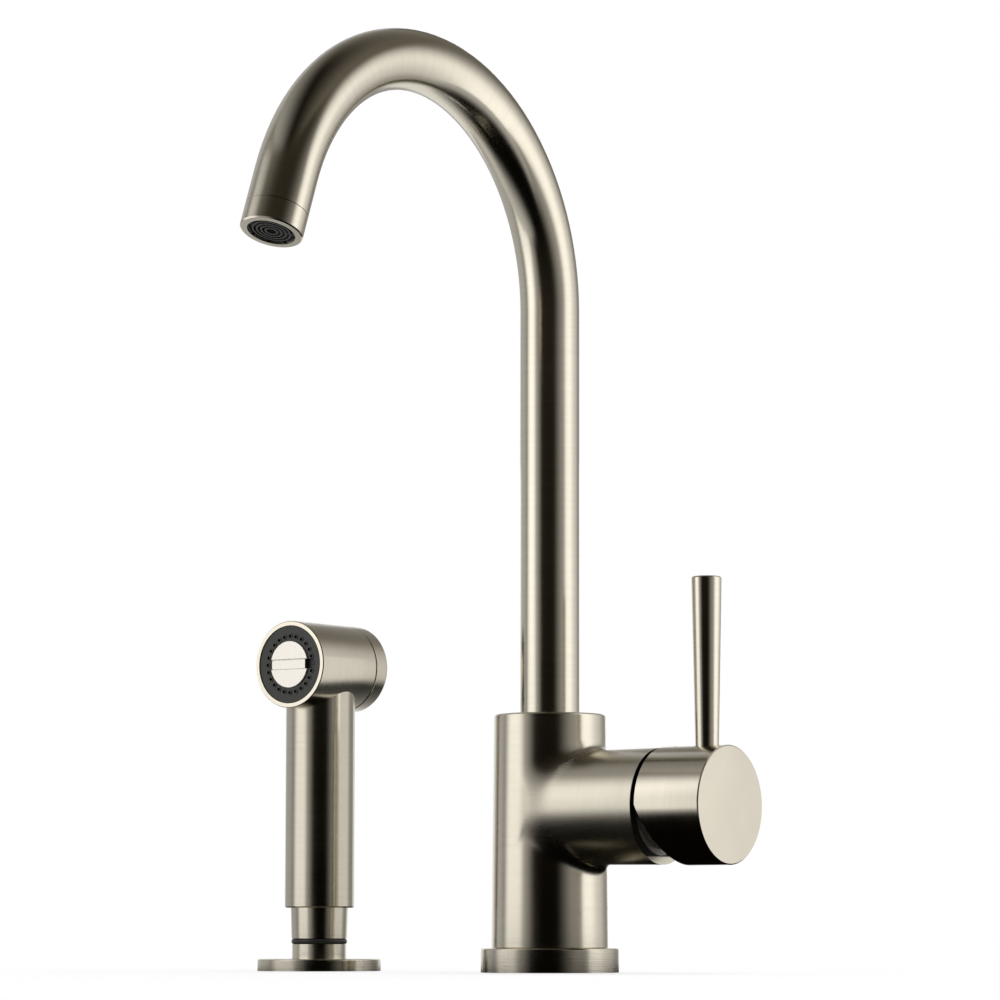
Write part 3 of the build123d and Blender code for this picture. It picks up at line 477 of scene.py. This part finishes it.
def write_nickel(finish, lay, outward=None, tint=1.0, extra_roughness=0.0):
    """Brushed nickel with one lay of lines."""
    nickel = bpy.context.scene.tap_nickel
    place = finish.axes("Object")
    spacing, length = nickel.grain_spacing, nickel.grain_length
    sizes = ((spacing, length), (STREAK_SPACING * spacing, STREAK_LENGTH * length))
    heights = [brushed_lines(finish, place, lay, *size) for size in sizes]
    smooth = finish.turned_normal(outward(finish, *place)) if outward else None
    write_metal(finish, place, heights, smooth, tint, extra_roughness)


def flowing_joint(finish, x, y, z):
    """Where the column and the barrel flow into each other: the barrel's share, and the normal."""
    above = z - BARREL_HEIGHT
    column_radius = BODY_RADIUS - BODY_TAPER * z
    off_column = (x * x + y * y).root() - column_radius
    off_barrel = ((y * y + above * above).root() - BARREL_RADIUS).most(JOINT_ROOT - x)
    barrel = (off_column - off_barrel).rise(-JOINT_REACH, JOINT_REACH)
    column_part = (1.0 - barrel) / column_radius
    barrel_part = barrel / BARREL_RADIUS
    across = y * (column_part + barrel_part)
    direction = finish.vector(x * column_part, across, above * barrel_part)
    # not on the column's far side, at the barrel's end and at the column's top edge
    joint = x.rise(*JOINT_LEFT) * (1.0 - x.rise(*JOINT_RIGHT))
    joint = joint * (1.0 - above.size().rise(*JOINT_HEIGHT))
    return barrel, finish.turned_normal(direction, joint)


def write_body_nickel(finish):
    """Brushed nickel of the body: lines round the column, and round the barrel beyond it."""
    nickel = bpy.context.scene.tap_nickel
    place = finish.axes("Object")
    on_barrel = place[0].rise(*GRAIN_TURN)
    heights = []
    for scale in (1, STREAK_SPACING):
        spacing, length = scale * nickel.grain_spacing, nickel.grain_length
        column = brushed_lines(finish, place, upright_lay, spacing, length)
        barrel = brushed_lines(finish, place, barrel_lay, spacing, length)
        heights.append(column + on_barrel * (barrel - column))
    # painted shade on the barrel's end face, everywhere but its lowest point
    painted_shade = place[0].rise(*PAINTED_SHADE_START) * place[2].rise(*PAINTED_SHADE_LOWEST)
    barrel, smooth = flowing_joint(finish, *place)
    write_metal(finish, place, heights, smooth, extra_roughness=0.13 * barrel, painted_shade=painted_shade)


def write_moulded(finish, colour, roughness, texture=0.01 * MM, gloss=0.5):
    """Moulded plastic or rubber: fine pitted skin, faint mottling and paler rubbed edges."""
    place = finish.axes("Object")
    pits = finish.patches(place, 0.4 * MM)
    mottling = finish.patches(place, 6 * MM)
    worn = finish.wear(0.4 * MM)
    shade, light = tinted(colour, 0.75), tinted(colour, 1.2)
    rubbed = tinted(colour, 1.5, lift=0.02)
    sockets = {
        "Base Color": finish.blend(0.6 * worn, finish.blend(mottling, shade, light), rubbed),
        "Roughness": roughness + 0.15 * (mottling - 0.5) + 0.1 * (pits - 0.5),
        "Specular IOR Level": gloss,
        "Normal": finish.bump(pits, texture),
    }
    finish.close(finish.node("BsdfPrincipled", sockets=sockets))


def write_turned(finish, colour, roughness, metallic):
    """Plain machined metal or ceramic inside the tap: faint turning marks."""
    place = finish.axes("Object")
    marks = finish.patches(place, 0.5 * MM, detail=2.0)
    cloud = finish.patches(place, 8 * MM)
    worn = finish.wear(0.3 * MM)
    shade, light, rubbed = (tinted(colour, factor) for factor in (0.85, 1.08, 1.2))
    sockets = {
        "Base Color": finish.blend(0.5 * worn, finish.blend(cloud, shade, light), rubbed),
        "Metallic": metallic,
        "Roughness": roughness + 0.12 * (marks - 0.5),
        "Normal": finish.bump(marks, 0.004 * MM),
    }
    finish.close(finish.node("BsdfPrincipled", sockets=sockets))


# ---------------------------------------------------------------- finishes by name
FINISHES = {
    "brushed_nickel_body": (write_body_nickel, {}),
    "brushed_nickel_ring": (write_nickel, {"lay": upright_lay, "outward": from_column}),
    "brushed_nickel_neck": (write_nickel, {"lay": neck_lay, "outward": from_neck}),
    "brushed_nickel_hub": (write_nickel, {"lay": barrel_lay, "outward": from_barrel}),
    "brushed_nickel_rod": (write_nickel, {"lay": upright_lay}),
    "brushed_nickel_holder": (write_nickel, {"lay": upright_lay, "outward": from_spray}),
    "brushed_nickel_head": (write_nickel, {"lay": head_lay}),
    # Painted shade: the spray handle is the same nickel darkened to 0.86, a shaded copy.
    "shaded_handle_nickel": (write_nickel, {"lay": upright_lay, "outward": from_spray, "tint": 0.86}),
    "satin_nickel": (write_nickel, {"lay": head_lay, "tint": 1.15, "extra_roughness": 0.08}),
    # Painted shade: the same nickel darkened to 0.6, a shaded copy, for the cartridge nut and ball
    # cap in the shaded gap behind the hub and for the spout's stop screw.
    "dark_nickel": (write_nickel, {"lay": barrel_lay, "tint": 0.6, "extra_roughness": 0.05}),
    "black_plastic": (
        write_moulded,
        {"colour": (0.012, 0.011, 0.008), "roughness": 0.42, "gloss": 0.25},
    ),
    "black_rubber": (
        write_moulded,
        {"colour": (0.007, 0.006, 0.004), "roughness": 0.6, "texture": 0.02 * MM, "gloss": 0.3},
    ),
    "grey_plastic": (write_moulded, {"colour": (0.09, 0.09, 0.088), "roughness": 0.45}),
    "white_plastic": (write_moulded, {"colour": (0.75, 0.74, 0.70), "roughness": 0.4}),
    "brass": (write_turned, {"colour": (0.72, 0.53, 0.28), "roughness": 0.3, "metallic": 1.0}),
    "ceramic": (write_turned, {"colour": (0.82, 0.81, 0.78), "roughness": 0.25, "metallic": 0.0}),
    "spring_steel": (
        write_turned,
        {"colour": (0.58, 0.58, 0.57), "roughness": 0.28, "metallic": 1.0},
    ),
}


def dress(finish_name, *nodes):
    """Gives a finish to CAD nodes."""
    write, looks = FINISHES[finish_name]
    material = finish_once(finish_name, write, **looks)
    for node in nodes:
        for slot in NODES[node].material_slots:
            slot.material = material


# ---------------------------------------------------------------- operators for the pieces
class TAP_OT_body(bpy.types.Operator):
    """Dress the tap body, its base ring and the gasket under it"""

    bl_idname = "tap.body"
    bl_label = "Body and base ring"

    def execute(self, context):
        dress("brushed_nickel_body", "tap_body")
        dress("brushed_nickel_ring", "base_ring")
        dress("black_rubber", "base_gasket")
        return {"FINISHED"}


class TAP_OT_spout(bpy.types.Operator):
    """Dress the gooseneck, the joint at its foot and the aerator at its outlet"""

    bl_idname = "tap.spout"
    bl_label = "Spout and aerator"

    def execute(self, context):
        dress("brushed_nickel_neck", "spout_tube", "aerator_housing")
        dress("black_plastic", "aerator_insert", "spout_slide_ring")
        dress("black_rubber", "aerator_washer", "spout_seals")
        dress("white_plastic", "spout_bush")
        dress("brass", "spout_nipple")
        # painted shade: the stop screw takes the darkened, shaded copy of the nickel
        dress("dark_nickel", "spout_stop_screw")
        return {"FINISHED"}


class TAP_OT_lever(bpy.types.Operator):
    """Dress the lever's hub and rod, its stem and the ball cap behind it"""

    bl_idname = "tap.lever"
    bl_label = "Lever"

    def execute(self, context):
        dress("brushed_nickel_hub", "lever_hub")
        dress("brushed_nickel_rod", "lever_rod")
        # painted shade: the ball cap, in the shaded gap behind the hub, takes the darkened nickel
        dress("dark_nickel", "ball_cap")
        dress("spring_steel", "lever_grub_screw")
        dress("brass", "lever_stem")
        return {"FINISHED"}


class TAP_OT_cartridge(bpy.types.Operator):
    """Dress the ceramic cartridge and its nut"""

    bl_idname = "tap.cartridge"
    bl_label = "Cartridge"

    def execute(self, context):
        dress("grey_plastic", "cartridge_base", "cartridge_housing")
        dress("grey_plastic", "cartridge_rotor", "disc_carrier")
        dress("black_rubber", "cartridge_seals")
        dress("ceramic", "fixed_disc", "moving_disc")
        dress("spring_steel", "pivot_pin")
        # painted shade: the nut, in the shaded gap behind the hub, takes the darkened nickel
        dress("dark_nickel", "cartridge_nut")
        return {"FINISHED"}


class TAP_OT_diverter(bpy.types.Operator):
    """Dress the diverter under the spout"""

    bl_idname = "tap.diverter"
    bl_label = "Diverter"

    def execute(self, context):
        dress("brass", "diverter_sleeve", "diverter_piston")
        dress("black_rubber", "diverter_seal")
        dress("spring_steel", "diverter_spring")
        return {"FINISHED"}


class TAP_OT_spray_stand(bpy.types.Operator):
    """Dress the side spray's holder with its liner and gasket"""

    bl_idname = "tap.spray_stand"
    bl_label = "Spray holder"

    def execute(self, context):
        dress("brushed_nickel_holder", "spray_holder")
        dress("black_rubber", "holder_gasket")
        dress("black_plastic", "holder_liner")
        return {"FINISHED"}


class TAP_OT_spray_handle(bpy.types.Operator):
    """Dress the side spray's handle and its hose nut"""

    bl_idname = "tap.spray_handle"
    bl_label = "Spray handle"

    def execute(self, context):
        # painted shade: the handle and hose nut take the darkened copy of the nickel
        dress("shaded_handle_nickel", "spray_handle", "hose_nut")
        dress("black_rubber", "hose_washer")
        return {"FINISHED"}


class TAP_OT_spray_head(bpy.types.Operator):
    """Dress the side spray's head, face and push button"""

    bl_idname = "tap.spray_head"
    bl_label = "Spray head"

    def execute(self, context):
        dress("brushed_nickel_head", "head_shell", "rear_cap")
        dress("satin_nickel", "face_screw", "push_button")
        dress("black_plastic", "face_plate")
        dress("grey_plastic", "valve_core")
        dress("black_rubber", "valve_seal")
        dress("brass", "valve_stem")
        dress("spring_steel", "valve_spring")
        return {"FINISHED"}


# ---------------------------------------------------------------- studio
WHITE = (1.0, 1.0, 1.0, 1.0)
FLOOR_REACH = 6.0
FLOOR_DROP, TENT_DROP = 0.2 * MM, 0.1 * MM  # under the worktop, so that no faces lie on each other
LAMP_ANGLE = math.radians(70)              # how broad the soft lamp is
LAMP_TILT, LAMP_BEARING = math.radians(25), math.radians(70)

# The light tent is seen in the metal alone. It is a round wall of dark cloth with lit panels, and
# low down it is open behind the object, past TENT_OPENING degrees from the camera.
WALL_STEPS = 120
TENT_OPENING = 157.0
LOW_CLOTH, ROOF_CLOTH = 0.03, 0.2          # brightness of the dark cloth below and above, as shares
DEEP_LEVEL, DIM_LEVEL = 0.012, 0.5         # brightness under which cloth is warm, and a little warm

# Each panel: first and last bearing, width of each soft edge, height where it starts to fade,
# height where it ends, brightness. Bearings are in degrees to the right of the camera from the
# tent's middle. A panel that ends below where it starts to fade hangs from the top.
TENT_PANELS = {
    "top_left_cloth": (-190.0, 0.0, 1.0, 70.0, 0.8, 0.55, 0.18),
    "left_grey_cloth": (-190.0, -95.0, 1.0, 30.0, 0.6, 1.4, 0.55),
    "left_fill": (-100.0, -25.0, 10.0, 28.0, 0.3, 0.8, 0.45),
    "left_light": (-113.0, -50.0, 27.0, 24.0, 0.35, 0.85, 1.72),
    "left_low_cloth": (-113.0, -50.0, 27.0, 24.0, 0.08, 0.24, 1.38),
    "right_cloth": (40.0, 190.0, 40.0, 1.0, 0.9, 1.2, 0.18),
    "right_fill": (21.0, 90.0, 44.0, 10.0, 0.3, 0.7, 0.42),
    "right_grey_cloth": (130.0, 190.0, 25.0, 1.0, 0.2, 0.6, 0.42),
    "right_pale_cloth": (61.0, 150.0, 20.0, 40.0, 0.35, 0.82, 0.95),
    "right_light": (61.0, 114.0, 22.0, 24.0, 0.35, 0.82, 1.6),
    "right_low_cloth": (46.0, 78.0, 14.0, 8.0, 0.05, 0.15, 0.34),
}
# Each soft patch of the roof and the floor cloth: direction it lies in, distance from the middle
# where it starts and where it is full, brightness.
ROOF_PATCHES = {
    "roof_left": (-90.0, 0.05, 0.5, 0.48),
    "roof_back": (180.0, -0.1, 0.5, 0.32),
    "roof_right": (90.0, -0.1, 0.4, 0.16),
}
FLOOR_PATCHES = {
    "floor_left": (-90.0, 0.06, 0.36, 0.62),
    "floor_right": (90.0, 0.2, 0.4, 0.55),
    "floor_back": (-155.0, 0.1, 0.42, 0.75),
}

# A pale card behind the tap keeps the right light out of the spray handle.
CARD_ENDS = ((0.005, 0.0295), (-0.046, 0.092))
CARD_BOTTOM, CARD_TOP = 0.01, 0.17
CARD_LEVEL = 1.0


def seen_plainly(finish):
    """1 for the rays that show the background: camera, glossy and transmission."""
    outputs = ("Is Camera Ray", "Is Glossy Ray", "Is Transmission Ray")
    camera, glossy, through = (finish.node("LightPath", output=name) for name in outputs)
    return (camera + glossy + through).least(1.0)


def make_world(studio):
    """White background, and a plain room light for matt surfaces."""
    world = bpy.data.worlds.new("studio_room")
    bpy.context.scene.world = world
    finish = Finish(world)
    shown = seen_plainly(finish)
    strength = studio.room_level + (1.0 - studio.room_level) * shown
    finish.close(finish.node("Background", sockets={"Color": WHITE, "Strength": strength}))


def write_floor(finish, studio):
    """Floor that is white to the camera and in reflections, less a share that takes shadows."""
    shown = seen_plainly(finish)
    lit = finish.node("BsdfDiffuse", sockets={"Color": (*studio.floor_colour, 1.0)})
    glow = finish.node("Emission", sockets={"Color": WHITE, "Strength": 1.0})
    finish.close(finish.between_shaders(shown * (1.0 - studio.shadow_share), lit, glow))


def cloth_glow(finish, level):
    """Light of a piece of cloth: the dimmer, the warmer."""
    warmth = DEEP_LEVEL / (level + DEEP_LEVEL) + 0.4 * max(0.0, 1.0 - level / DIM_LEVEL)
    colour = (1.0, 1.0 - 0.26 * warmth, 1.03 - 0.7 * warmth, 1.0)
    return finish.node("Emission", sockets={"Color": colour, "Strength": level})


def write_wall(finish, studio):
    """Dark cloth with soft-edged lit panels."""
    forward, right, height = finish.axes("Object")
    bearing = right.bearing(forward) * math.degrees(1.0)
    low = cloth_glow(finish, LOW_CLOTH * studio.cloth_level)
    high = cloth_glow(finish, studio.cloth_level)
    cloth = finish.between_shaders(height / studio.tent_height, low, high)
    for start, end, soft_start, soft_end, fade, top, level in TENT_PANELS.values():
        share = bearing.rise(start, start + soft_start) * (1.0 - bearing.rise(end - soft_end, end))
        share = share * (1.0 - height.rise(fade, top))
        cloth = finish.between_shaders(share, cloth, cloth_glow(finish, level))
    finish.close(cloth)


def write_patches(finish, cloth_level, patches):
    """Dark cloth, paler towards some of its sides."""
    forward, right, _ = finish.axes("Object")
    cloth = cloth_glow(finish, cloth_level)
    for direction, start, full, level in patches.values():
        turn = math.radians(direction)
        distance = math.cos(turn) * forward + math.sin(turn) * right
        share = distance.rise(start, full)
        cloth = finish.between_shaders(share, cloth, cloth_glow(finish, level))
    finish.close(cloth)


def write_card(finish):
    """Evenly lit pale card."""
    finish.close(cloth_glow(finish, CARD_LEVEL))


def stage_piece(name, points, faces, material):
    """Adds a piece of the studio, which isn't part of the tap."""
    mesh = bpy.data.meshes.new(name)
    mesh.from_pydata(points, [], faces)
    mesh.materials.append(material)
    piece = bpy.data.objects.new(name, mesh)
    bpy.context.scene.collection.objects.link(piece)
    return piece


def show_in_metal_only(piece):
    """Hides a piece from all but mirrored rays."""
    piece.visible_camera = False
    piece.visible_diffuse = False
    piece.visible_shadow = False


def add_floor(studio):
    """Plain floor that takes the object's shadow."""
    sides = ((-1, -1), (1, -1), (1, 1), (-1, 1))
    corners = [(FLOOR_REACH * across, FLOOR_REACH * along, 0) for across, along in sides]
    material = finish_once("studio_floor", write_floor, studio)
    floor = stage_piece("floor", corners, [(0, 1, 2, 3)], material)
    floor.location = (0, 0, -FLOOR_DROP)


def add_tent(studio):
    """Wall with lit panels and a low opening behind the object, roof and floor cloth."""
    heights = (0.0, studio.opening_height, studio.tent_height)
    rows = len(heights)
    wall, faces = [], []
    for step in range(WALL_STEPS):
        angle = math.radians(360 * step / WALL_STEPS - 180)
        place = (studio.tent_radius * math.cos(angle), studio.tent_radius * math.sin(angle))
        wall += [(*place, height) for height in heights]
        here, there = rows * step, rows * ((step + 1) % WALL_STEPS)
        faces.append((here + 1, there + 1, there + 2, here + 2))
        if abs(360 * (step + 0.5) / WALL_STEPS - 180) < TENT_OPENING:
            faces.append((here, there, there + 1, here + 1))
    round_face = [tuple(range(WALL_STEPS))]
    level = studio.cloth_level
    roof = finish_once("tent_roof", write_patches, ROOF_CLOTH * level, ROOF_PATCHES)
    floor = finish_once("tent_floor", write_patches, LOW_CLOTH * level, FLOOR_PATCHES)
    pieces = [
        stage_piece("tent_wall", wall, faces, finish_once("tent_wall", write_wall, studio)),
        stage_piece("tent_roof", wall[rows - 1 :: rows], round_face, roof),
        stage_piece("tent_floor", wall[::rows], round_face, floor),
    ]
    for piece in pieces:
        # X points at the camera
        piece.location = (*studio.tent_middle, -TENT_DROP)
        piece.rotation_euler = (0.0, 0.0, studio.camera_turn - math.radians(90))
        show_in_metal_only(piece)


def add_card():
    """Pale card behind the tap."""
    near, far = CARD_ENDS
    corners = [(*near, CARD_BOTTOM), (*far, CARD_BOTTOM), (*far, CARD_TOP), (*near, CARD_TOP)]
    material = finish_once("grey_card", write_card)
    show_in_metal_only(stage_piece("grey_card", corners, [(0, 1, 2, 3)], material))


def add_lamp(studio):
    """One broad soft lamp from above, which the metal doesn't mirror."""
    data = bpy.data.lights.new("soft_lamp", "SUN")
    data.energy = studio.lamp_level
    data.angle = LAMP_ANGLE
    lamp = bpy.data.objects.new("soft_lamp", data)
    lamp.rotation_euler = (LAMP_TILT, 0, studio.camera_turn + LAMP_BEARING)
    lamp.visible_glossy = False
    bpy.context.scene.collection.objects.link(lamp)


def add_camera(studio):
    """Camera at the photograph's viewing angle."""
    data = bpy.data.cameras.new("camera")
    data.lens = studio.lens
    data.shift_x, data.shift_y = studio.shift_x, studio.shift_y
    camera = bpy.data.objects.new("camera", data)
    camera.location = studio.camera_place
    camera.rotation_euler = (math.radians(90) + studio.camera_pitch, 0, studio.camera_turn)
    bpy.context.scene.collection.objects.link(camera)
    bpy.context.scene.camera = camera


class TAP_OT_studio(bpy.types.Operator):
    """Set up the camera, floor, background and studio light"""

    bl_idname = "tap.studio"
    bl_label = "Studio"

    def execute(self, context):
        studio = context.scene.tap_studio
        context.scene.view_settings.view_transform = "Standard"
        add_camera(studio)
        add_floor(studio)
        add_tent(studio)
        add_card()
        add_lamp(studio)
        make_world(studio)
        return {"FINISHED"}


# ---------------------------------------------------------------- add-on
OPERATORS = (
    TAP_OT_body,
    TAP_OT_spout,
    TAP_OT_lever,
    TAP_OT_cartridge,
    TAP_OT_diverter,
    TAP_OT_spray_stand,
    TAP_OT_spray_handle,
    TAP_OT_spray_head,
    TAP_OT_studio,
)


class TAP_PT_pieces(bpy.types.Panel):
    """Lists the settings and the pieces of the tap"""

    bl_idname = "TAP_PT_pieces"
    bl_label = "Kitchen Tap"
    bl_space_type = "VIEW_3D"
    bl_region_type = "UI"
    bl_category = "Kitchen Tap"

    def draw(self, context):
        for settings in (context.scene.tap_nickel, context.scene.tap_studio):
            for name in type(settings).__annotations__:
                self.layout.prop(settings, name)
        for operator in OPERATORS:
            self.layout.operator(operator.bl_idname)


CLASSES = (NickelSettings, StudioSettings, *OPERATORS, TAP_PT_pieces)


def register():
    for each in CLASSES:
        bpy.utils.register_class(each)
    bpy.types.Scene.tap_nickel = PointerProperty(type=NickelSettings)
    bpy.types.Scene.tap_studio = PointerProperty(type=StudioSettings)


def unregister():
    del bpy.types.Scene.tap_studio
    del bpy.types.Scene.tap_nickel
    for each in reversed(CLASSES):
        bpy.utils.unregister_class(each)


def main():
    register()
    for operator in OPERATORS:
        group, name = operator.bl_idname.split(".")
        getattr(getattr(bpy.ops, group), name)()


if __name__ == "__main__":
    main()
